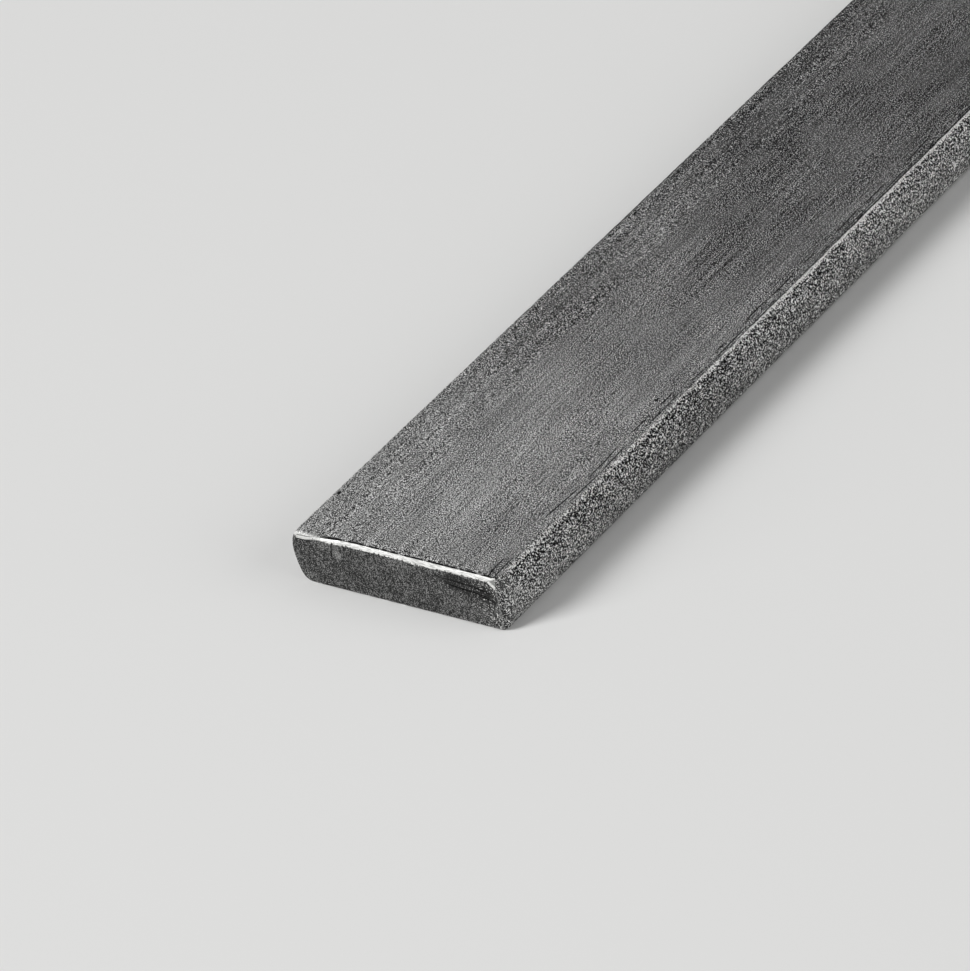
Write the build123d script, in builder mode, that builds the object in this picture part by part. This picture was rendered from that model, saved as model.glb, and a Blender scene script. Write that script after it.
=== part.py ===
from build123d import *
import os

# Hot-rolled steel flat bar: one piece of stock, modelled as it lies on a level floor.
# +X runs along the bar, +Y across it and +Z up through its thickness.
# The origin is on the underside, at the middle of the length and of the width.
# All sizes are in millimetres.

# Stock size, with the width taken over the crests of the rolled sides
bar_length = 1000.0
bar_width = 25.0
bar_thickness = 6.0

# Rolled section: each side swells out between the flats, widest above its middle
side_crown = 0.75
crest_drop = 2.3
top_round = 0.25
bottom_round = 1.2

# Wear that softens the sawn outline of both ends
end_wear = 0.15

# Bevel filed across the top edge of the near end
bevel_setback = 0.2
bevel_drop = 0.6

# Upright edge of the near end on the -Y side, rounded over more than the others
upright_round = 1.1

# Facet where the file ran off the near end beside that edge
facet_width = 1.2
facet_foot_inset = 1.3
facet_drop = 1.15

# Light deburring of the top and bottom edges of the far end
deburr = 0.3

# Places that follow from the sizes above
near_x = -bar_length / 2
far_x = bar_length / 2
half_width = bar_width / 2
flat_half_width = half_width - side_crown
crest_height = bar_thickness - crest_drop

with BuildPart() as flat_bar:
    # Section: two flats joined by sides of two arcs each, all upright at the crest
    with BuildSketch(Plane.YZ.offset(near_x)) as section:
        with BuildLine():
            top = Line((-flat_half_width, bar_thickness), (flat_half_width, bar_thickness))
            bottom = Line((-flat_half_width, 0), (flat_half_width, 0))
            crest = (half_width, crest_height)
            upper_side = TangentArc(crest, top @ 1, tangent=(0, 1))
            lower_side = TangentArc(crest, bottom @ 1, tangent=(0, -1))
            mirror([upper_side, lower_side], about=Plane.YZ)
        make_face()
        fillet(section.vertices().group_by(Axis.Y)[-1], top_round)
        fillet(section.vertices().group_by(Axis.Y)[0], bottom_round)
    extrude(amount=bar_length)
    sawn_ends = flat_bar.faces().filter_by(Axis.X)
    fillet(sawn_ends.edges(), end_wear)

    # Near end: the -Y upright edge is rounded over in plan, from the end face to the side
    with BuildSketch(Plane.XY):
        with BuildLine():
            on_end = (near_x, upright_round - half_width)
            on_side = (near_x + upright_round, -half_width)
            TangentArc(on_end, on_side, tangent=(0, -1))
            Polyline(on_side, (near_x, -half_width), on_end)
        make_face()
    extrude(amount=bar_thickness, mode=Mode.SUBTRACT)

    # Near end: the filed bevel is one flat cut, so it runs out over the rounded corners
    with BuildSketch(Plane.XZ):
        with BuildLine():
            Polyline(
                (near_x, bar_thickness - bevel_drop),
                (near_x + bevel_setback, bar_thickness),
                (near_x, bar_thickness),
                close=True,
            )
        make_face()
    extrude(amount=bar_width, both=True, mode=Mode.SUBTRACT)

    # Near end: the facet meets the bevel in a crease and falls away to the rounded edge
    crease_low = Vector(near_x, facet_width - flat_half_width, bar_thickness - bevel_drop)
    crease_high = Vector(near_x + bevel_setback, -flat_half_width, bar_thickness)
    facet_foot = Vector(near_x, facet_foot_inset - half_width, bar_thickness - facet_drop)
    facet_normal = (crease_high - crease_low).cross(facet_foot - crease_low)
    split(bisect_by=Plane(crease_low, z_dir=facet_normal), keep=Keep.TOP)

    # Far end: sawn square, with the burr taken off above and below
    with BuildSketch(Plane.XZ):
        with BuildLine():
            Polyline(
                (far_x, bar_thickness - deburr),
                (far_x - deburr, bar_thickness),
                (far_x, bar_thickness),
                close=True,
            )
        make_face()
        with BuildLine():
            Polyline((far_x, deburr), (far_x - deburr, 0), (far_x, 0), close=True)
        make_face()
    extrude(amount=bar_width, both=True, mode=Mode.SUBTRACT)

flat_bar.part.label = "flat_bar"

os.makedirs("parts", exist_ok=True)
export_step(flat_bar.part, "parts/flat_bar.step")
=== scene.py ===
import math
import bmesh
import bpy
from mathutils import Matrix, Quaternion, Vector


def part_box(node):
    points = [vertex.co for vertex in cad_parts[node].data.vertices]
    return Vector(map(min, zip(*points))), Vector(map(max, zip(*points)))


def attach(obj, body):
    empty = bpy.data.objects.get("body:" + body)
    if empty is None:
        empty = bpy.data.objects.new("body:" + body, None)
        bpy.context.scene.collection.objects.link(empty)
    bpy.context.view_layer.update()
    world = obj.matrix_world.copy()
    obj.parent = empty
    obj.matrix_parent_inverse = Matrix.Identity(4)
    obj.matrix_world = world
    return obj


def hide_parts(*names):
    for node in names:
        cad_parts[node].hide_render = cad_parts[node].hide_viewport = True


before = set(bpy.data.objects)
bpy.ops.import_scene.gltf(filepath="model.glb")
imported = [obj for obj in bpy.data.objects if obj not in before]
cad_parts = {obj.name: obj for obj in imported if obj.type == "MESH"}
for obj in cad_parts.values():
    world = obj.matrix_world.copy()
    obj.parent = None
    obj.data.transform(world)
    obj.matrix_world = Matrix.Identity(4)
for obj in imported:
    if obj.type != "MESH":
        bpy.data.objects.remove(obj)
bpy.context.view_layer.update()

# A hot-rolled steel flat bar as it leaves the saw: dark mill scale on its flats, a coarser
# scale on its rolled sides, a dull sawn end, and a bright bevel filed across that end's top edge.
# Lengths are in metres, and a size in millimetres is written as a number times MM.
MM = 0.001

# The bar's box comes from the frame, and its section is the one that the mill rolled
BAR_LOW, BAR_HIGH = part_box("flat_bar")
NEAR_X, FAR_X = BAR_LOW.x, BAR_HIGH.x
HALF_WIDTH = BAR_HIGH.y
THICKNESS = BAR_HIGH.z
SIDE_CROWN = 0.75 * MM
CREST_DROP = 2.3 * MM
TOP_ROUND = 0.25 * MM
BOTTOM_ROUND = 1.2 * MM
END_WEAR = 0.15 * MM

# The bevel filed across the near end, its facet at the -Y corner, and the far end's deburring
BEVEL_SETBACK = 0.2 * MM
BEVEL_DROP = 0.6 * MM
UPRIGHT_ROUND = 1.1 * MM
UPRIGHT_CUTS = 6
FACET_WIDTH = 1.2 * MM
FACET_DROP = 1.15 * MM
FACET_FOOT = 1.3 * MM
DEBURR = 0.3 * MM

# Where the file bit deeper: place across the bar, how much further down, reach. The middle of each
# dip goes down in full, over DIP_GRIP of its reach to either side.
BEVEL_DIPS = (
    (11.4 * MM, 0.34 * MM, 2.2 * MM),
    (7.6 * MM, 0.15 * MM, 2.6 * MM),
    (-2.3 * MM, 0.24 * MM, 1.1 * MM),
    (-4.3 * MM, 0.10 * MM, 1.2 * MM),
)
DIP_GRIP = 1 / 5

# The top's +Y edge lies a little low: how far there, over what width that fades, and the width
# that lies low in full
LOW_EDGE_DROP = 0.25 * MM
LOW_EDGE_REACH = 7 * MM
LOW_EDGE_GRIP = 0.5 * MM

# The saw's drag at the near end: how far it pulls the top down, over what length, and where that
# length is divided. The thickness above DRAG_GRIP goes down in full, and the thickness below
# UPPER_PART stays as it is, under the low edge too.
DRAG_DROP = 0.09 * MM
DRAG_REACH = 1.2 * MM
DRAG_RINGS = (0.35, 0.7, 1.0)
DRAG_GRIP = 0.9
UPPER_PART = 0.6

# The lip that the mill's collar leaves along both edges of the top: distance in, rise. LIP_CATCH
# is how near a point lies to its row.
LIP_ROWS = (
    (0.15 * MM, 0.030 * MM),
    (0.35 * MM, 0.022 * MM),
    (0.6 * MM, -0.030 * MM),
    (0.85 * MM, -0.012 * MM),
)
LIP_END = 1.3 * MM
LIP_CATCH = 0.03 * MM

# How finely the bar is divided: across its flats, up its sides, and along it in stretches that
# end at these distances from the near end, each with its number of cuts
MIDDLE_CUTS = 44
SIDE_STEP = 0.5 * MM
CORNER_STEPS = 4
CORNER_TURN = math.radians(60)
STRETCHES = (
    (2.4 * MM, 16),
    (60 * MM, 100),
    (120 * MM, 100),
    (340 * MM, 80),
    (620 * MM, 80),
    (998 * MM, 90),
)

# Unevenness that the rolls leave in the top: name, size along the bar, height
UNEVENNESS = (("swell", 22 * MM, 0.05 * MM), ("dimple", 2.6 * MM, 0.018 * MM))
SMOOTH_ANGLE = math.radians(28)

# How near two points count as one, and a point counts as lying on a cut or beside it
WELD = 0.001 * MM
ON_CUT = 0.002 * MM
BESIDE_CUT = 0.01 * MM

# How alike two directions are, as the product of two that are each one long: nearly the same,
# quite the same, out of a sawn end, and slantwise as the far end's deburred edges are
ALIKE = 0.999
SAME = 0.9999
END_ON = 0.995
SLOPED = 0.6

# The photographed view
AIM = Vector((NEAR_X + 12.26 * MM, -1.92 * MM, THICKNESS))
HEADING = math.radians(42.277)
LOOK_DOWN = math.radians(33.434)
ROLL = math.radians(-13.004)
DISTANCE = 645.04 * MM
LENS_MM = 255.95
NEAREST_SEEN = 10 * MM

# Softboxes: direction from the bar's near end, distance and size in metres, power in watts. Their
# grids narrow the beams, so that the floor beneath them doesn't glare.
SOFTBOXES = {
    "key_softbox": ((-0.68, 0.42, 0.60), 2.6, 1.24, 16.0),
    "low_softbox": ((-0.82, 0.54, 0.2), 3.3, 0.99, 2.8),
    "fill_softbox": ((0.1, -0.9, 0.38), 3.0, 2.25, 10.2),
}
BEAM = math.radians(90)
ROOM_LIGHT = (0.24, 0.24, 0.24, 1)
FLOOR_SIZE = 6


def outline_half_width(height):
    """Half the bar's width at a height: flats, corner rounds, and sides of two arcs."""
    crest = THICKNESS - CREST_DROP
    above = height > crest
    rise = CREST_DROP if above else crest
    corner = TOP_ROUND if above else BOTTOM_ROUND
    from_crest = abs(height - crest)
    side_radius = (rise ** 2 + SIDE_CROWN ** 2) / (2 * SIDE_CROWN)
    middle = HALF_WIDTH - side_radius
    corner_rise = rise - corner
    corner_y = middle + math.sqrt((side_radius - corner) ** 2 - corner_rise ** 2)
    meets_corner = corner_rise * side_radius / (side_radius - corner)
    if from_crest > meets_corner:
        return corner_y + math.sqrt(max(corner ** 2 - (from_crest - corner_rise) ** 2, 0))
    return middle + math.sqrt(side_radius ** 2 - from_crest ** 2)


FLAT_HALF = outline_half_width(THICKNESS)


def section_levels():
    """Heights at which the section is cut, close together where its corners turn."""
    levels = []
    for step in range(1, CORNER_STEPS + 1):
        turn = CORNER_TURN * step / CORNER_STEPS
        levels.append(BOTTOM_ROUND * (1 - math.cos(turn)))
        levels.append(THICKNESS - TOP_ROUND * (1 - math.cos(turn)))
    low, high = levels[-2], levels[-1]
    count = round((high - low) / SIDE_STEP)
    levels += [low + (high - low) * step / count for step in range(1, count)]
    return sorted(levels)


def column_places():
    """Places across the top where the bar is cut lengthwise, the lip's rows among them."""
    inner = FLAT_HALF - LIP_END
    middle = [-inner + 2 * inner * step / (MIDDLE_CUTS - 1) for step in range(MIDDLE_CUTS)]
    lip = [FLAT_HALF - distance for distance, rise in LIP_ROWS]
    return sorted(middle + lip + [-place for place in lip])


def begin_edit(obj):
    """Opens one object alone in edit mode."""
    bpy.ops.object.select_all(action="DESELECT")
    bpy.context.view_layer.objects.active = obj
    obj.select_set(True)
    bpy.ops.object.mode_set(mode="EDIT")
    bpy.ops.mesh.select_mode(type="VERT")


def end_edit():
    bpy.ops.object.mode_set(mode="OBJECT")


def select_points(obj, test):
    """Selects the points whose place passes the test."""
    mesh = bmesh.from_edit_mesh(obj.data)
    bpy.ops.mesh.select_all(action="DESELECT")
    for vert in mesh.verts:
        vert.select = test(vert.co)
    mesh.select_flush(True)
    bmesh.update_edit_mesh(obj.data)


def select_edges(obj, test):
    """Selects the edges whose two ends pass the test together."""
    bpy.ops.mesh.select_mode(type="EDGE")
    mesh = bmesh.from_edit_mesh(obj.data)
    bpy.ops.mesh.select_all(action="DESELECT")
    for edge in mesh.edges:
        edge.select = test(edge.verts[0].co, edge.verts[1].co)
    bmesh.update_edit_mesh(obj.data)


def select_faces(obj, test):
    """Selects the faces whose middle and normal pass the test."""
    bpy.ops.mesh.select_mode(type="FACE")
    mesh = bmesh.from_edit_mesh(obj.data)
    bpy.ops.mesh.select_all(action="DESELECT")
    for face in mesh.faces:
        face.select = test(face.calc_center_median(), face.normal)
    bmesh.update_edit_mesh(obj.data)


def bisect(point, normal, cut_away=False):
    """Cuts what is selected along a plane, and may take away what lies in front of it."""
    bpy.ops.mesh.bisect(
        plane_co=point, plane_no=normal, clear_outer=cut_away, use_fill=cut_away, threshold=WELD
    )


def bisect_all(point, normal, cut_away=False):
    """Cuts the whole mesh along a plane."""
    bpy.ops.mesh.select_mode(type="VERT")
    bpy.ops.mesh.select_all(action="SELECT")
    bisect(point, normal, cut_away)


def pull_down(drop, reach):
    """Pulls what is selected down, and its neighbours that aren't hidden less and less."""
    bpy.ops.transform.translate(
        value=(0, 0, -drop), use_proportional_edit=True, proportional_size=reach,
        proportional_edit_falloff="SMOOTH",
    )
    bpy.ops.mesh.reveal(select=False)


def model_blank():
    """A block of the bar's size, cut lengthwise and at the section's heights."""
    bpy.ops.object.select_all(action="DESELECT")
    middle = (BAR_LOW + BAR_HIGH) / 2
    bpy.ops.mesh.primitive_cube_add(size=1, location=middle, scale=BAR_HIGH - BAR_LOW)
    bar = bpy.context.object
    bar.name = "rolled_flat_bar"
    bpy.ops.object.transform_apply(location=True, rotation=False, scale=True)
    begin_edit(bar)
    for place in column_places():
        bisect_all((0, place * HALF_WIDTH / FLAT_HALF, 0), (0, 1, 0))
    for height in section_levels():
        bisect_all((0, 0, height), (0, 0, 1))
    return bar


def roll_section(bar):
    """Draws each height in to the width that the rolled section has there."""
    for height in [0.0, *section_levels(), THICKNESS]:
        select_points(bar, lambda co: abs(co.z - height) < ON_CUT)
        narrower = outline_half_width(height) / HALF_WIDTH
        bpy.ops.transform.resize(value=(1, narrower, 1), center_override=(0, 0, height))


def wear_ends(bar):
    """Rounds the outline of both sawn ends, by a ring behind each and another half-way round."""
    for end_x, inward in ((NEAR_X, 1), (FAR_X, -1)):
        bisect_all((end_x + inward * END_WEAR, 0, 0), (1, 0, 0))
        for turn in (0, math.radians(45)):
            set_in = END_WEAR * (1 - math.sin(turn))
            ring_x = end_x + inward * END_WEAR * (1 - math.cos(turn))
            if turn:
                bisect_all((ring_x, 0, 0), (1, 0, 0))
            select_points(bar, lambda co: abs(co.x - ring_x) < ON_CUT)
            draw_in = (1, 1 - set_in / HALF_WIDTH, 1 - 2 * set_in / THICKNESS)
            bpy.ops.transform.resize(value=draw_in, center_override=(0, 0, THICKNESS / 2))


def round_upright(bar):
    """Rounds the near end's -Y upright edge over, by narrow upright cuts round its arc."""
    centre = Vector((NEAR_X + UPRIGHT_ROUND, UPRIGHT_ROUND - HALF_WIDTH, 0))
    for step in range(UPRIGHT_CUTS):
        turn = math.radians(90) * (step + 0.5) / UPRIGHT_CUTS
        outward = Vector((-math.cos(turn), -math.sin(turn), 0))
        bisect_all(centre + outward * UPRIGHT_ROUND, outward, cut_away=True)
        for height in section_levels():
            select_faces(bar, lambda middle, facing: facing.dot(outward) > SAME)
            bisect((0, 0, height), (0, 0, 1))


def raise_lips(bar):
    """Raises a faint lip along the top's edges and presses the groove beside it."""
    for distance, rise in LIP_ROWS:
        row = FLAT_HALF - distance
        select_points(
            bar, lambda co: abs(abs(co.y) - row) < LIP_CATCH and co.z > THICKNESS - BESIDE_CUT
        )
        bpy.ops.transform.translate(value=(0, 0, rise))


def lower_top_edge(bar):
    """Lowers the top's +Y edge, which the last pass of the rolls left a little under size."""
    edge = FLAT_HALF - LOW_EDGE_GRIP
    select_points(bar, lambda co: co.z > UPPER_PART * THICKNESS)
    bpy.ops.mesh.hide(unselected=True)
    select_points(bar, lambda co: co.y > edge and co.z > THICKNESS - TOP_ROUND)
    pull_down(LOW_EDGE_DROP, LOW_EDGE_REACH)


def drag_top_down(bar):
    """Bends the top down by a hair at the near end, where the saw dragged it."""
    for share in DRAG_RINGS:
        bisect_all((NEAR_X + share * DRAG_REACH, 0, 0), (1, 0, 0))
    back = NEAR_X + DRAG_REACH + BESIDE_CUT
    front = NEAR_X + END_WEAR + BESIDE_CUT
    select_points(bar, lambda co: co.z > UPPER_PART * THICKNESS and co.x < back)
    bpy.ops.mesh.hide(unselected=True)
    select_points(bar, lambda co: co.x < front and co.z > DRAG_GRIP * THICKNESS)
    pull_down(DRAG_DROP, DRAG_REACH)


def file_bevel(bar):
    """Files the near end's top edge flat and divides the cut along the bar's columns."""
    bevel = Vector((-BEVEL_DROP, 0, BEVEL_SETBACK)).normalized()
    bisect_all((NEAR_X, 0, THICKNESS - BEVEL_DROP), bevel, cut_away=True)
    for place in column_places():
        select_faces(bar, lambda middle, facing: facing.dot(bevel) > ALIKE)
        bisect((0, place, 0), (0, 1, 0))
    return bevel


def file_facet(bar):
    """Files the facet that meets the bevel in a crease at the near end's -Y corner."""
    crease_y = HALF_WIDTH - SIDE_CROWN
    crease_low = Vector((NEAR_X, FACET_WIDTH - crease_y, THICKNESS - BEVEL_DROP))
    crease_high = Vector((NEAR_X + BEVEL_SETBACK, -crease_y, THICKNESS))
    foot = Vector((NEAR_X, FACET_FOOT - HALF_WIDTH, THICKNESS - FACET_DROP))
    facet = (foot - crease_low).cross(crease_high - crease_low).normalized()
    bisect_all(crease_low, facet, cut_away=True)
    select_faces(bar, lambda middle, facing: facing.dot(facet) > ALIKE)
    bisect((0, UPRIGHT_ROUND - HALF_WIDTH, 0), (0, 1, 0))
    return facet


def deburr_far_end():
    """Takes the burr off the far end's top and bottom edges."""
    for height, up in ((THICKNESS - DEBURR, 1), (DEBURR, -1)):
        bisect_all((FAR_X, 0, height), Vector((1, 0, up)).normalized(), cut_away=True)


def vary_bevel(bar):
    """Pulls the bevel's lower border down in places, as an uneven file stroke leaves it."""
    border = THICKNESS - BEVEL_DROP
    for place, drop, reach in BEVEL_DIPS:
        select_faces(bar, lambda middle, facing: facing.x < -ALIKE)
        bpy.ops.mesh.hide(unselected=True)
        bpy.ops.mesh.select_mode(type="VERT")
        grip = DIP_GRIP * reach
        select_points(bar, lambda co: abs(co.z - border) < drop and abs(co.y - place) < grip)
        pull_down(drop, reach)


def divide_along(bar):
    """Divides the bar into stretches along its length, with the finest at the near end."""
    start = NEAR_X + DRAG_REACH
    for reach, cuts in STRETCHES:
        stop = NEAR_X + reach
        bisect_all((stop, 0, 0), (1, 0, 0))
        select_edges(
            bar,
            lambda a, b: abs(a.x - b.x) > 0.5 * (stop - start)
            and min(a.x, b.x) > start - BESIDE_CUT
            and max(a.x, b.x) < stop + BESIDE_CUT,
        )
        bpy.ops.mesh.subdivide(number_cuts=cuts)
        start = stop


def roll_unevenness(bar):
    """Presses shallow swells and dimples into the top with two procedural cloud textures."""
    inner = FLAT_HALF - LIP_END
    begin_edit(bar)
    select_points(
        bar, lambda co: co.z > THICKNESS - 2 * LOW_EDGE_DROP and abs(co.y) < inner
        and NEAR_X + DRAG_REACH < co.x < FAR_X - DEBURR
    )
    group = bar.vertex_groups.new(name="top")
    bar.vertex_groups.active_index = group.index
    bpy.ops.object.vertex_group_assign()
    end_edit()
    for name, size, height in UNEVENNESS:
        clouds = bpy.data.textures.new(name, "CLOUDS")
        clouds.noise_scale = size
        bpy.ops.object.modifier_add(type="DISPLACE")
        press = bar.modifiers[-1]
        press.name = name
        press.texture = clouds
        press.texture_coords = "LOCAL"
        press.direction = "Z"
        press.vertex_group = group.name
        press.strength = height
        bpy.ops.object.modifier_apply(modifier=name)


def linear(hex_colour):
    """An sRGB hex colour as linear red, green, blue and alpha."""
    parts = [int(hex_colour[i:i + 2], 16) / 255 for i in (1, 3, 5)]
    return (*[p / 12.92 if p <= 0.04045 else ((p + 0.055) / 1.055) ** 2.4 for p in parts], 1)


def add(tree, kind, inputs=None, **settings):
    """Adds a node with its settings; each input takes a value, a socket or a node's first output."""
    made = tree.nodes.new(kind)
    for name, value in settings.items():
        setattr(made, name, value)
    for name, value in (inputs or {}).items():
        if isinstance(value, bpy.types.Node):
            tree.links.new(value.outputs[0], made.inputs[name])
        elif isinstance(value, bpy.types.NodeSocket):
            tree.links.new(value, made.inputs[name])
        else:
            made.inputs[name].default_value = value
    return made


def total(tree, *parts):
    """Adds up values, each with its weight."""
    whole = None
    for value, weight in parts:
        if weight != 1:
            value = add(tree, "ShaderNodeMath", {0: value, 1: weight}, operation="MULTIPLY")
        if whole is not None:
            value = add(tree, "ShaderNodeMath", {0: whole, 1: value}, operation="ADD")
        whole = value
    return whole


def weighed(tree, layers, shares):
    """Adds up the layers that have a share, each by its share."""
    return total(tree, *[(layers[name], share) for name, share in shares.items()])


def either(tree, *values):
    """The highest of several values at each point."""
    highest = values[0]
    for value in values[1:]:
        highest = add(tree, "ShaderNodeMath", {0: highest, 1: value}, operation="MAXIMUM")
    return highest


def where(tree, *conditions):
    """How far all the conditions hold at each point, as their product.

    A condition is a mask, a plain factor, or a value with two levels: it doesn't hold at the
    first, holds in full at the second, and rises smoothly between them.
    """
    held = None
    for condition in conditions:
        if isinstance(condition, tuple):
            value, not_at, full_at = condition
            condition = add(
                tree, "ShaderNodeMapRange", {"Value": value, "From Min": not_at, "From Max": full_at},
                interpolation_type="SMOOTHSTEP",
            )
        if held is not None:
            condition = add(tree, "ShaderNodeMath", {0: held, 1: condition}, operation="MULTIPLY")
        held = condition
    return held


def distance_from(tree, value, middle):
    """How far a value lies from a middle, to either side."""
    offset = add(tree, "ShaderNodeMath", {0: value, 1: middle}, operation="SUBTRACT")
    return add(tree, "ShaderNodeMath", {0: offset}, operation="ABSOLUTE")


def swayed(tree, value, sway, reach):
    """A value pushed up and down by noise, within a reach."""
    centred = add(tree, "ShaderNodeMath", {0: sway, 1: 0.5}, operation="SUBTRACT")
    return total(tree, (value, 1), (centred, reach))


def coats(tree, ground, *laid):
    """A colour with others laid over it in turn, each with the mask that says where."""
    colour = linear(ground)
    for mask, laid_colour in laid:
        colour = add(
            tree, "ShaderNodeMix", {0: mask, 6: colour, 7: linear(laid_colour)}, data_type="RGBA"
        ).outputs[2]
    return colour


def grain_of(tree, place, size, drawn=(1, 1, 1), detail=2.0, roughness=0.5, shift=(0, 0, 0)):
    """A grain with lumps about a size wide, drawn out along the bar, across it or upward."""
    squeezed = add(
        tree, "ShaderNodeMapping",
        {"Vector": place, "Scale": [1 / share for share in drawn], "Location": shift},
    )
    return add(
        tree, "ShaderNodeTexNoise",
        {"Vector": squeezed, "Scale": 0.5 / size, "Detail": detail, "Roughness": roughness},
    )


def ruffle(tree, place, size, reach):
    """The place pushed about by noise, which makes a mark's outline ragged."""
    push = grain_of(tree, place, size).outputs["Color"]
    centred = add(tree, "ShaderNodeVectorMath", {0: push, 1: (0.5, 0.5, 0.5)}, operation="SUBTRACT")
    far = add(tree, "ShaderNodeVectorMath", {0: centred, "Scale": 2 * reach}, operation="SCALE")
    return add(tree, "ShaderNodeVectorMath", {0: place, 1: far}, operation="ADD")


def spot(tree, place, middle, reach, turn=0.0):
    """One at a mark's middle, falling to nothing at its reach along its own three axes."""
    local = add(
        tree, "ShaderNodeMapping",
        {"Vector": place, "Location": middle, "Rotation": (turn, 0, 0), "Scale": reach},
        vector_type="TEXTURE",
    )
    out_from_middle = add(tree, "ShaderNodeVectorMath", {0: local}, operation="LENGTH")
    return where(tree, (out_from_middle.outputs["Value"], 1.0, 0.5))


def new_finish(name, surface):
    """A material whose shader a function makes from its tree and the piece's own coordinates."""
    made = bpy.data.materials.new(name)
    made.use_nodes = True
    tree = made.node_tree
    tree.nodes.clear()
    place = add(tree, "ShaderNodeTexCoord").outputs["Object"]
    add(tree, "ShaderNodeOutputMaterial", {"Surface": surface(tree, place)})
    return made


# Hot-rolled mill scale: a thin, brittle oxide skin that the rolls press into the steel while it is
# red hot. It gives the eye a dark neutral grey with a dull metal gloss and a fine pebbled grain of
# light crests and black pores, coarser and deeper on the sides, where no roll has pressed it flat,
# and smoother in patches of the top. It has small pits, fine scores and flakes, and dark laps beside
# the top's -Y edge. White specks on the sides and a light line along the ridge there are partly
# rubbed bare metal and partly painted glints and a painted highlight. A slow swing of tone along
# the top, lightest at the near end, is painted light falling off along the bar.
# The real grain is finer than the photographed view can show, so its lumps are drawn about 0.12 mm
# wide, and 0.18 mm on the sides.
SCALE_DARK = "#08080a"
SCALE_LIGHT = "#fafaf9"
RUBBED_AND_HIGHLIT = "#f4f4f2"
SCALE_ROUGHNESS = 0.42

# The metal gloss of crests on the top and on the sides, and of pores, where it makes them black
TOP_METAL = 0.35
SIDE_METAL = 0.25
PORE_METAL = 1.0

# Layers of the scale's pattern: width of the lumps, how much they are drawn out along the bar,
# across it and upward, and a shift that keeps layers from matching. The tone drifts along the
# whole bar, the mottle over a few millimetres.
SCALE_LAYERS = {
    "grain": {"size": 0.060 * MM, "drawn": (1.25, 1, 1), "detail": 1.0},
    "fine": {"size": 0.050 * MM, "detail": 0.0, "shift": (3.1, 1.7, 0.4)},
    "streak": {"size": 0.13 * MM, "drawn": (50, 1, 1), "detail": 3.0},
    "score": {"size": 0.07 * MM, "drawn": (60, 1, 1), "detail": 0.0, "shift": (0, 3.3, 0)},
    "pressed": {"size": 1.6 * MM, "drawn": (2.5, 1, 1), "shift": (0, 0, 7.7)},
    "flaking": {
        "size": 0.8 * MM, "drawn": (2.2, 1, 1), "detail": 3.0, "roughness": 0.65,
        "shift": (0, 9.0, 0),
    },
    "mottle": {"size": 5 * MM, "drawn": (1.8, 1, 1), "detail": 3.0, "roughness": 0.6},
    "tone": {"size": 40 * MM, "drawn": (1.6, 1, 1), "detail": 1.0, "shift": (12 * MM, 0, 0)},
    "lumps": {"size": 0.5 * MM, "drawn": (2, 1, 1)},
    "side_grain": {"size": 0.064 * MM, "detail": 1.0},
    "side_fine": {"size": 0.056 * MM, "detail": 0.0, "shift": (1.3, 4.4, 0.9)},
    "glints": {
        "size": 0.056 * MM, "drawn": (1.3, 1, 1), "detail": 0.0, "shift": (5.3, 0.2, 2.9)
    },
}
PEBBLE = 0.18 * MM

# How much each layer counts in the shade, and the levels at which the shade is black and light
TOP_SHARES = {
    "grain": 0.8, "fine": 0.8, "mottle": 0.15, "streak": 0.25, "tone": 0.12, "painted_light_swing": 0.052,
    "flake": 0.12,
}
TOP_RANGE = (1.070, 1.235)
# On the sides the band along the ridge lightens the shade, a painted highlight on the rounded edge
SIDE_SHARES = {"side_grain": 0.8, "pebbles": 0.7, "mottle": 0.2, "on_ridge": 0.08}
SIDE_RANGE = (0.93, 1.05)

# How high each layer stands, in millimetres, and how deep the hollows are
TOP_HEIGHTS = {"grain": 0.22, "streak": 0.05, "flake": 0.02}
SIDE_HEIGHTS = {"side_grain": 0.18}
HOLLOW_HEIGHT = -0.03
HOLLOW_STRENGTH = 1.3

# Painted light: a slow swing of the top's tone along the bar, lightest at the near end and darker
# further on, stands in for light that falls off away from the near end. Its period, and the places
# where it has died out at the first and is full up to the second
LIGHT_SWING_PERIOD = 240 * MM
SWING_ALONG = (NEAR_X + 400 * MM, NEAR_X + 150 * MM)

# Where the rolls pressed the top smoother: how far its shade goes to an even one there
PRESSED_LEVELS = (0.42, 0.60)
SMOOTHER = 0.25
EVEN_SHADE = 0.34

# The sides near the sawn end are calmer, and a dark strip lies right beside that end
CALM_ALONG = (NEAR_X + 3.0 * MM, NEAR_X + 0.8 * MM)
CALMER = 0.45
CALM_SHADE = 0.14
STRIP_ALONG = (NEAR_X + 0.32 * MM, NEAR_X + 0.12 * MM)
STRIP_STRENGTH = 0.65

# Where the sides' coarse scale begins, how far its border sways, and the part of the rounded
# upright edge that has it too
BORDER_ACROSS = (FLAT_HALF + 0.02 * MM, FLAT_HALF + 0.10 * MM)
BORDER_SWAY = 0.24 * MM
UPRIGHT_HEIGHTS = (THICKNESS - 0.1 * MM, THICKNESS - 0.3 * MM)
UPRIGHT_ACROSS = (0.5 * MM - FLAT_HALF, 0.3 * MM - FLAT_HALF)

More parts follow.
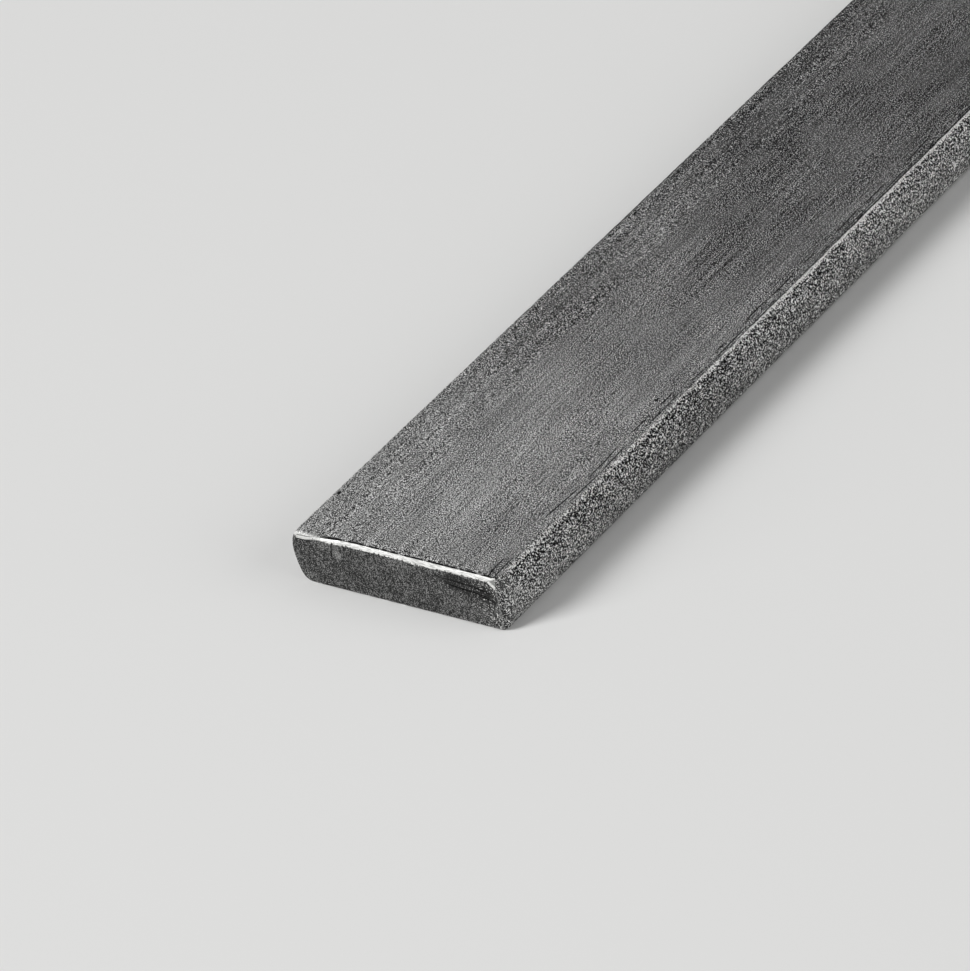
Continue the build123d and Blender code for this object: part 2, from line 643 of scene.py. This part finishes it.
# The ridge, with a light line that is partly rubbed metal and partly a painted highlight on the
# rounded edge: its place across, half its width, its heights, and where along the bar it turns
# from single specks into a line, which the side's fine grain breaks up. The side's white specks,
# partly rubbed metal and partly painted glints, come above the glint levels, more of them along
# the ridge
RIDGE_ACROSS = FLAT_HALF + 0.14 * MM
RIDGE_HALF = 0.11 * MM
RIDGE_CORE = 0.3
RIDGE_HEIGHTS = (THICKNESS - 0.8 * MM, THICKNESS - 0.4 * MM)
RIDGE_ALONG = (NEAR_X + 18 * MM, NEAR_X + 50 * MM)
RIDGE_BREAKS = (0.30, 0.52)
RIDGE_STRENGTH = 0.9
GLINT_LEVELS = (0.62, 0.70)
RIDGE_GLINT = 0.09

# The groove just inside the ridge: place across, width, and where the mottle breaks it up. A mark
# is gone at the first distance of its width and full at the second, here and below.
GROOVE_ACROSS = FLAT_HALF - 0.03 * MM
GROOVE_WIDTH = (0.09 * MM, 0.03 * MM)
GROOVE_BREAKS = (0.35, 0.6)

# The dark line above the bevel, and the file's run over the top's edge at the +Y corner: along,
# across from where the line gives way to the run, and down
BEVEL_TOP = NEAR_X + BEVEL_SETBACK
LINE_ALONG = (BEVEL_TOP + 0.30 * MM, BEVEL_TOP + 0.12 * MM)
LINE_BREAKS = (0.36, 0.52)
RUN_ALONG = (BEVEL_TOP + 0.20 * MM, BEVEL_TOP + 0.10 * MM)
RUN_ACROSS = (7.6 * MM, 11.0 * MM)
RUN_HEIGHTS = (THICKNESS - 0.80 * MM, THICKNESS - 0.65 * MM)

# Flakes, which lie where the tone is dark, scores, and pits. A pit's cell is squeezed along the
# bar, which draws the pit out, and some cells have none.
FLAKE_LEVELS = (0.56, 0.60)
FLAKE_TONE = (0.5, 0.35)
SCORE_LEVELS = (0.70, 0.78)
SCORE_DEPTH = 0.4
PIT_SPACING = 2.4 * MM
PIT_SQUEEZED = (0.6, 1, 1)
PIT_SWAY = 0.12
PIT_EDGE = 0.13 * MM / PIT_SPACING
PIT_FLOOR = 0.3 * PIT_EDGE
PIT_CHANCE = (0.5, 0.8)

# Laps beside the -Y edge of the top: distance in, how far they wander, over what length, shift
LAP_WIDTH = (0.11 * MM, 0.033 * MM)
LAP_BREAKS = (0.46, 0.58)
LAP_BREAK_SIZE = 0.9 * MM
LAP_BREAK_DRAWN = (2.5, 1, 1)
LAPS = ((0.30 * MM, 0.35 * MM, 4 * MM, 11.0), (1.0 * MM, 0.8 * MM, 9 * MM, 47.0))

# Single dents in the top: place along and across, reach along and across. What makes their
# outlines ragged has a size and a reach.
DENT_RUFFLE = (0.12 * MM, 0.22 * MM)
DENTS = (
    (6.7 * MM, 11.3 * MM, 0.40 * MM, 0.25 * MM),
    (2.5 * MM, 8.6 * MM, 0.30 * MM, 0.16 * MM),
    (2.1 * MM, 9.3 * MM, 0.22 * MM, 0.14 * MM),
    (3.3 * MM, 8.0 * MM, 0.20 * MM, 0.13 * MM),
    (29.8 * MM, -9.8 * MM, 0.36 * MM, 0.20 * MM),
    (31.0 * MM, -9.5 * MM, 0.24 * MM, 0.13 * MM),
)


def scale_zones(tree, axes, lumps):
    """The distance from the bar's middle line with the border's sway, and where the sides begin."""
    outward = add(tree, "ShaderNodeMath", {0: axes.outputs["Y"]}, operation="ABSOLUTE")
    across = swayed(tree, outward, lumps, BORDER_SWAY)
    on_side = either(
        tree, where(tree, (across, *BORDER_ACROSS)),
        where(tree, (axes.outputs["Z"], *UPRIGHT_HEIGHTS), (axes.outputs["Y"], *UPRIGHT_ACROSS)),
    )
    return across, on_side


def scale_layers(tree, place, axes):
    """The layers of the scale's pattern by name, with those that are made from other layers."""
    layers = {name: grain_of(tree, place, **made) for name, made in SCALE_LAYERS.items()}
    layers["pebbles"] = add(
        tree, "ShaderNodeTexVoronoi", {"Vector": place, "Scale": 1 / PEBBLE}
    ).outputs["Distance"]
    layers["flake"] = where(
        tree, (layers["flaking"], *FLAKE_LEVELS), (layers["tone"], *FLAKE_TONE)
    )
    # The painted light swing: a cosine along the bar, lightest at the near end, for light falling off
    along = distance_from(tree, axes.outputs["X"], NEAR_X)
    turned = total(tree, (along, 2 * math.pi / LIGHT_SWING_PERIOD))
    painted_light_swing = add(tree, "ShaderNodeMath", {0: turned}, operation="COSINE")
    layers["painted_light_swing"] = where(tree, painted_light_swing, (axes.outputs["X"], *SWING_ALONG))
    return layers


def scale_shade(tree, axes, layers, on_side):
    """How light the scale is, from its black pores to its light crests."""
    # The top's shade carries the painted light swing along the bar, and the sides' a painted
    # highlight at the ridge
    top = where(tree, (weighed(tree, layers, TOP_SHARES), *TOP_RANGE))
    pressed = where(tree, (layers["pressed"], *PRESSED_LEVELS), SMOOTHER)
    top = add(tree, "ShaderNodeMix", {0: pressed, 2: top, 3: EVEN_SHADE})
    side = where(tree, (weighed(tree, layers, SIDE_SHARES), *SIDE_RANGE))
    calm = where(tree, (axes.outputs["X"], *CALM_ALONG), CALMER)
    side = add(tree, "ShaderNodeMix", {0: calm, 2: side, 3: CALM_SHADE})
    strip = where(tree, (axes.outputs["X"], *STRIP_ALONG), STRIP_STRENGTH)
    side = add(tree, "ShaderNodeMix", {0: strip, 2: side, 3: 0.0})
    return add(tree, "ShaderNodeMix", {0: on_side, 2: top, 3: side})


def scale_pits(tree, place, lumps):
    """Small pits in the scale, with ragged outlines."""
    cells = add(
        tree, "ShaderNodeTexVoronoi",
        {
            "Vector": add(tree, "ShaderNodeMapping", {"Vector": place, "Scale": PIT_SQUEEZED}),
            "Scale": 1 / PIT_SPACING,
        },
    )
    chance = add(tree, "ShaderNodeSeparateColor", {"Color": cells.outputs["Color"]})
    ragged = swayed(tree, cells.outputs["Distance"], lumps, PIT_SWAY)
    return where(tree, (ragged, PIT_EDGE, PIT_FLOOR), (chance.outputs["Red"], *PIT_CHANCE))


def scale_laps(tree, place, axes):
    """Thin dark laps that wander beside the top's -Y edge, each broken up."""
    laps = []
    for inside, reach, size, start in LAPS:
        shift = (start, 0, 0)
        drift = grain_of(tree, place, size, (1, math.inf, math.inf), detail=3.0, shift=shift)
        line = swayed(tree, axes.outputs["Y"], drift, 2 * reach)
        off_line = distance_from(tree, line, inside - FLAT_HALF)
        breaks = grain_of(tree, place, LAP_BREAK_SIZE, LAP_BREAK_DRAWN, shift=shift)
        laps.append(where(tree, (off_line, *LAP_WIDTH), (breaks, *LAP_BREAKS)))
    return laps


def scale_hollows(tree, place, axes, layers, across, on_side):
    """All that lies lower than the scale around it and stays dark."""
    x, y = axes.outputs["X"], axes.outputs["Y"]
    on_top = add(tree, "ShaderNodeMath", {0: 1.0, 1: on_side}, operation="SUBTRACT")
    line = where(
        tree, (x, *LINE_ALONG), on_top, (layers["lumps"], *LINE_BREAKS), (y, *RUN_ACROSS[::-1])
    )
    score_depth = add(tree, "ShaderNodeMath", {0: SCORE_DEPTH, 1: on_side}, operation="SUBTRACT")
    score = where(tree, (layers["score"], *SCORE_LEVELS), score_depth)
    off_groove = distance_from(tree, across, GROOVE_ACROSS)
    groove = where(
        tree, (off_groove, *GROOVE_WIDTH), (layers["mottle"], *GROOVE_BREAKS), (x, *RIDGE_ALONG)
    )
    rough_place = ruffle(tree, place, *DENT_RUFFLE)
    dents = [
        spot(tree, rough_place, (NEAR_X + back, over, THICKNESS), (along, wide, MM))
        for back, over, along, wide in DENTS
    ]
    pits = scale_pits(tree, place, layers["lumps"])
    deepest = either(tree, pits, line, groove, score, *scale_laps(tree, place, axes), *dents)
    return where(tree, deepest, HOLLOW_STRENGTH)


def mill_scale(tree, place):
    """The mill scale's shader."""
    axes = add(tree, "ShaderNodeSeparateXYZ", {"Vector": place})
    layers = scale_layers(tree, place, axes)
    across, on_side = scale_zones(tree, axes, layers["lumps"])
    off_ridge = distance_from(tree, across, RIDGE_ACROSS)
    on_ridge = where(
        tree, (off_ridge, 2 * RIDGE_HALF, RIDGE_HALF), (axes.outputs["Z"], *RIDGE_HEIGHTS)
    )
    layers["on_ridge"] = on_ridge
    shade = scale_shade(tree, axes, layers, on_side)
    hollow = scale_hollows(tree, place, axes, layers, across, on_side)

    ridge_wear_and_highlight = where(
        tree, (off_ridge, RIDGE_HALF, RIDGE_CORE * RIDGE_HALF),
        (axes.outputs["X"], *RIDGE_ALONG), (layers["side_fine"], *RIDGE_BREAKS), RIDGE_STRENGTH,
    )
    # White specks on the sides and the ridge's light line: partly rubbed metal, partly painted glints
    # and a painted highlight
    glint_level = total(tree, (layers["glints"], 1), (on_ridge, RIDGE_GLINT))
    rubbed_and_highlit = either(tree, where(tree, (glint_level, *GLINT_LEVELS), on_side), ridge_wear_and_highlight)
    file_run = where(
        tree, (axes.outputs["X"], *RUN_ALONG), (axes.outputs["Y"], *RUN_ACROSS),
        (axes.outputs["Z"], *RUN_HEIGHTS),
    )
    colour = coats(
        tree, SCALE_DARK, (shade, SCALE_LIGHT), (rubbed_and_highlit, RUBBED_AND_HIGHLIT), (hollow, SCALE_DARK),
        (file_run, FILED),
    )

    height = add(
        tree, "ShaderNodeMix",
        {0: on_side, 2: weighed(tree, layers, TOP_HEIGHTS), 3: weighed(tree, layers, SIDE_HEIGHTS)},
    )
    height = total(tree, (height, 1), (hollow, HOLLOW_HEIGHT))
    bump = add(tree, "ShaderNodeBump", {"Height": height, "Distance": MM, "Strength": 1.0})
    crest_metal = add(tree, "ShaderNodeMix", {0: on_side, 2: TOP_METAL, 3: SIDE_METAL})
    metallic = add(tree, "ShaderNodeMix", {0: shade, 2: PORE_METAL, 3: crest_metal})
    return add(
        tree, "ShaderNodeBsdfPrincipled",
        {
            "Base Color": colour, "Metallic": metallic, "Roughness": SCALE_ROUGHNESS,
            "Normal": bump,
        },
    )


# Saw-cut steel gone dull: it gives the eye a darker, mattish grey with a short upright grain from
# the blade, a few fissures that run in from the edges, and light specks that are partly rubbed
# metal and partly painted glints.
# The blade's marks are finer than the view can show, so they are drawn about 0.18 mm wide.
SAWN_DARK = "#080808"
SAWN_LIGHT = "#8a8a89"
SAWN_METAL = 0.5
SAWN_ROUGHNESS = 0.5
SAWN_LAYERS = {
    "grain": {"size": 0.056 * MM, "detail": 1.0},
    "blade": {"size": 0.09 * MM, "drawn": (1, 1, 1 / 0.3), "detail": 1.0},
    "specks": {"size": 0.065 * MM, "detail": 0.0, "shift": (2.0, 5.5, 1.5)},
    "mottle": {"size": 2.2 * MM, "detail": 3.0, "roughness": 0.6},
}
SAWN_SHARES = {"grain": 1.2, "blade": 0.35, "mottle": 0.35, "shaded": -0.17}
SAWN_RANGE = (0.90, 1.15)
SAWN_HEIGHTS = {"grain": 0.08, "blade": 0.05, "fissure": -0.04}
SAWN_RUFFLE = (0.15 * MM, 0.06 * MM)

# The shade over the fissures beside the near end's -Y edge: middle, reach, slope
SHADED_MIDDLE = (NEAR_X, -8.2 * MM, 4.2 * MM)
SHADED_REACH = (MM, 4.2 * MM, 1.3 * MM)
SHADED_SLOPE = math.radians(8)

# Fissures in the near end: middle across and up, half length, half width, slope
FISSURE_STRENGTH = 2.2
FISSURES = (
    (-8.0 * MM, 3.85 * MM, 3.1 * MM, 0.13 * MM, math.radians(5)),
    (-9.6 * MM, 4.30 * MM, 1.5 * MM, 0.11 * MM, math.radians(9)),
    (-7.2 * MM, 4.55 * MM, 2.0 * MM, 0.10 * MM, math.radians(3)),
    (-10.2 * MM, 3.40 * MM, 1.2 * MM, 0.12 * MM, math.radians(12)),
    (7.7 * MM, 4.3 * MM, 0.85 * MM, 0.09 * MM, math.radians(97)),
)

# Rubbed marks on the near end: middle across and up, half length, half width
RUB_STRENGTH = 0.12
RUBS = (
    (11.8 * MM, 2.8 * MM, 0.7 * MM, 0.09 * MM),
    (7.0 * MM, 4.2 * MM, 0.5 * MM, 0.7 * MM),
)

# Light specks toward the -Y corner, partly rubbed metal and partly painted glints, and a painted
# highlight: a light line where the end turns into its rounded edge
SPECK_LEVELS = (0.66, 0.74)
SPECK_ACROSS = (-6 * MM, -11 * MM)
SPECK_STRENGTH = 0.7
TURN_ACROSS = UPRIGHT_ROUND - HALF_WIDTH
TURN_WIDTH = (0.09 * MM, 0.03 * MM)
TURN_STRENGTH = 0.16


def sawn_steel(tree, place):
    """The sawn end's shader."""
    axes = add(tree, "ShaderNodeSeparateXYZ", {"Vector": place})
    layers = {name: grain_of(tree, place, **made) for name, made in SAWN_LAYERS.items()}
    layers["shaded"] = spot(tree, place, SHADED_MIDDLE, SHADED_REACH, SHADED_SLOPE)
    rough_place = ruffle(tree, place, *SAWN_RUFFLE)
    fissures = [
        spot(tree, rough_place, (NEAR_X, over, up), (MM, long, wide), slope)
        for over, up, long, wide, slope in FISSURES
    ]
    layers["fissure"] = either(tree, *fissures)
    deep = where(tree, layers["fissure"], FISSURE_STRENGTH)
    shade = where(tree, (weighed(tree, layers, SAWN_SHARES), *SAWN_RANGE))

    rubs = [
        spot(tree, rough_place, (NEAR_X, over, up), (MM, long, wide))
        for over, up, long, wide in RUBS
    ]
    specks = where(
        tree, (layers["specks"], *SPECK_LEVELS), (axes.outputs["Y"], *SPECK_ACROSS), SPECK_STRENGTH
    )
    # A painted highlight along the line where the end turns into its rounded edge
    off_turn = distance_from(tree, axes.outputs["Y"], TURN_ACROSS)
    turn_line = where(tree, (off_turn, *TURN_WIDTH), TURN_STRENGTH)
    rubbed_and_highlit = either(tree, where(tree, either(tree, *rubs), RUB_STRENGTH), specks, turn_line)
    colour = coats(tree, SAWN_DARK, (shade, SAWN_LIGHT), (rubbed_and_highlit, RUBBED_AND_HIGHLIT), (deep, SAWN_DARK))
    height = weighed(tree, layers, SAWN_HEIGHTS)
    bump = add(tree, "ShaderNodeBump", {"Height": height, "Distance": MM, "Strength": 1.0})
    return add(
        tree, "ShaderNodeBsdfPrincipled",
        {
            "Base Color": colour, "Metallic": either(tree, SAWN_METAL, deep),
            "Roughness": SAWN_ROUGHNESS, "Normal": bump,
        },
    )


# Freshly filed steel: bare bright metal. It gives the eye an almost white line with fine file
# strokes along it and a ragged lower border where the file has skipped over the sawn end.
# The strokes are finer than the view can show, so they are drawn about 0.1 mm apart.
FILED = "#f6f6f4"
STROKE = "#a4a4a2"
FILED_METAL = 1.0
FILED_ROUGHNESS = 0.42
STROKE_SIZE = 0.05 * MM
STROKE_DRAWN = (1, 1 / 0.15, 1)
STROKE_DEPTH = 0.02 * MM
STROKE_LEVELS = (0.52, 0.40)
STROKE_STRENGTH = 0.5

# The ragged lower border: how far nicks reach into the bevel, how wide they are, and their levels
RAGGED = 0.07 * MM
SKIP_DEPTH = 0.3 * RAGGED
NICK_SIZE = 0.16 * MM
NICK_LEVELS = (0.45, 0.8)

# Towards the +Y corner the file left two lines: how far in the gap lies, its width, where it begins
SPLIT_IN = 0.045 * MM
SPLIT_WIDTH = (0.020 * MM, 0.009 * MM)
SPLIT_ACROSS = (8.5 * MM, 11.2 * MM)

# The facet: rubbed grey, with its crease as bright as the bevel
FACET_GREY = "#8c8c8b"
FACET_METAL = 0.7
FACET_ROUGHNESS = 0.5
CREASE_ALONG = (NEAR_X + 0.03 * MM, NEAR_X + 0.06 * MM)


def filed_steel(tree, place):
    """The shader of bare steel with its file strokes."""
    strokes = grain_of(tree, place, STROKE_SIZE, STROKE_DRAWN, detail=1.0)
    bump = add(
        tree, "ShaderNodeBump", {"Height": strokes, "Distance": STROKE_DEPTH, "Strength": 1.0}
    )
    marked = where(tree, (strokes, *STROKE_LEVELS), STROKE_STRENGTH)
    return add(
        tree, "ShaderNodeBsdfPrincipled",
        {
            "Base Color": coats(tree, FILED, (marked, STROKE)), "Metallic": FILED_METAL,
            "Roughness": FILED_ROUGHNESS, "Normal": bump,
        },
    )


def filed_edge(tree, place):
    """Bright from the sawn end's border up, apart from nicks there and a skipped line at one end."""
    axes = add(tree, "ShaderNodeSeparateXYZ", {"Vector": place})
    at_split = where(tree, (axes.outputs["Y"], *SPLIT_ACROSS))
    off_split = add(tree, "ShaderNodeMath", {0: 1.0, 1: at_split}, operation="SUBTRACT")
    nicks = where(tree, (grain_of(tree, place, NICK_SIZE), *NICK_LEVELS), off_split)
    depth = total(tree, (axes.outputs["X"], 1), (nicks, -RAGGED))
    skipped = where(tree, (depth, NEAR_X + SKIP_DEPTH, NEAR_X), off_split)
    off_gap = distance_from(tree, axes.outputs["X"], NEAR_X + SPLIT_IN)
    gap = where(tree, (off_gap, *SPLIT_WIDTH), at_split)
    return add(
        tree, "ShaderNodeMixShader",
        {0: either(tree, skipped, gap), 1: filed_steel(tree, place), 2: sawn_steel(tree, place)},
    )


def filed_facet(tree, place):
    """Bright only along its crease with the sawn end, and rubbed grey inside it."""
    axes = add(tree, "ShaderNodeSeparateXYZ", {"Vector": place})
    grey = add(
        tree, "ShaderNodeBsdfPrincipled",
        {
            "Base Color": linear(FACET_GREY), "Metallic": FACET_METAL,
            "Roughness": FACET_ROUGHNESS,
        },
    )
    inside = where(tree, (axes.outputs["X"], *CREASE_ALONG))
    return add(tree, "ShaderNodeMixShader", {0: inside, 1: filed_steel(tree, place), 2: grey})


# Seamless studio paper: it gives the eye a matt, nearly white floor
PAPER = "#e6e6e5"
PAPER_ROUGHNESS = 0.9
PAPER_SHINE = 0.1


def studio_paper(tree, place):
    """The floor's shader, the same all over."""
    return add(
        tree, "ShaderNodeBsdfPrincipled",
        {
            "Base Color": linear(PAPER), "Roughness": PAPER_ROUGHNESS,
            "Specular IOR Level": PAPER_SHINE,
        },
    )


def give_finish(bar, name, surface, test):
    """Gives a finish to the faces whose middle and normal pass the test."""
    bar.data.materials.append(new_finish(name, surface))
    bar.active_material_index = len(bar.data.materials) - 1
    select_faces(bar, test)
    bpy.ops.object.material_slot_assign()


def model_bar():
    """The bar: rolled, sawn, filed, given its finishes, then divided and pressed uneven."""
    bar = model_blank()
    roll_section(bar)
    wear_ends(bar)
    round_upright(bar)
    raise_lips(bar)
    lower_top_edge(bar)
    drag_top_down(bar)
    bevel = file_bevel(bar)
    facet = file_facet(bar)
    deburr_far_end()
    give_finish(bar, "hot_rolled_mill_scale", mill_scale, lambda middle, facing: True)
    give_finish(bar, "dull_sawn_steel", sawn_steel, lambda middle, facing: abs(facing.x) > END_ON)
    give_finish(
        bar, "bright_filed_steel", filed_edge,
        lambda middle, facing: facing.dot(bevel) > ALIKE
        or abs(facing.z) > SLOPED and facing.x > SLOPED,
    )
    give_finish(
        bar, "rubbed_steel_facet", filed_facet,
        lambda middle, facing: facing.dot(facet) > ALIKE and middle.y > UPRIGHT_ROUND - HALF_WIDTH,
    )
    vary_bevel(bar)
    divide_along(bar)
    end_edit()
    roll_unevenness(bar)
    bpy.ops.object.shade_smooth_by_angle(angle=SMOOTH_ANGLE)
    return bar


def lay_floor():
    """A plain pale floor under the bar."""
    bpy.ops.mesh.primitive_plane_add(size=FLOOR_SIZE, location=(0, 0, 0))
    floor = bpy.context.object
    floor.name = "floor"
    floor.data.materials.append(new_finish("pale_studio_paper", studio_paper))
    return floor


def place_camera():
    """The camera at the photographed view."""
    data = bpy.data.cameras.new("camera")
    data.lens = LENS_MM
    data.clip_start = NEAREST_SEEN
    camera = bpy.data.objects.new("camera", data)
    bpy.context.collection.objects.link(camera)
    away = Vector((
        math.cos(LOOK_DOWN) * math.cos(HEADING),
        math.cos(LOOK_DOWN) * math.sin(HEADING),
        -math.sin(LOOK_DOWN),
    ))
    camera.location = AIM - away * DISTANCE
    camera.rotation_mode = "QUATERNION"
    camera.rotation_quaternion = away.to_track_quat("-Z", "Y") @ Quaternion((0, 0, 1), ROLL)
    return camera


def place_softbox(name, toward, distance, size, power):
    """A soft square light that faces the bar's near end from a direction."""
    data = bpy.data.lights.new(name, "AREA")
    data.size = size
    data.spread = BEAM
    data.energy = power
    light = bpy.data.objects.new(name, data)
    direction = Vector(toward).normalized()
    light.location = AIM + direction * distance
    light.rotation_mode = "QUATERNION"
    light.rotation_quaternion = (-direction).to_track_quat("-Z", "Y")
    bpy.context.collection.objects.link(light)


def grey_room():
    """The even light of the room round the softboxes."""
    room = bpy.data.worlds.new("studio")
    room.use_nodes = True
    room.node_tree.nodes["Background"].inputs["Color"].default_value = ROOM_LIGHT
    return room


bar = model_bar()
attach(bar, "root")
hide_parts("flat_bar")
floor = lay_floor()

bpy.context.scene.camera = place_camera()
for name, settings in SOFTBOXES.items():
    place_softbox(name, *settings)
bpy.context.scene.world = grey_room()
bpy.context.scene.view_settings.view_transform = "Standard"
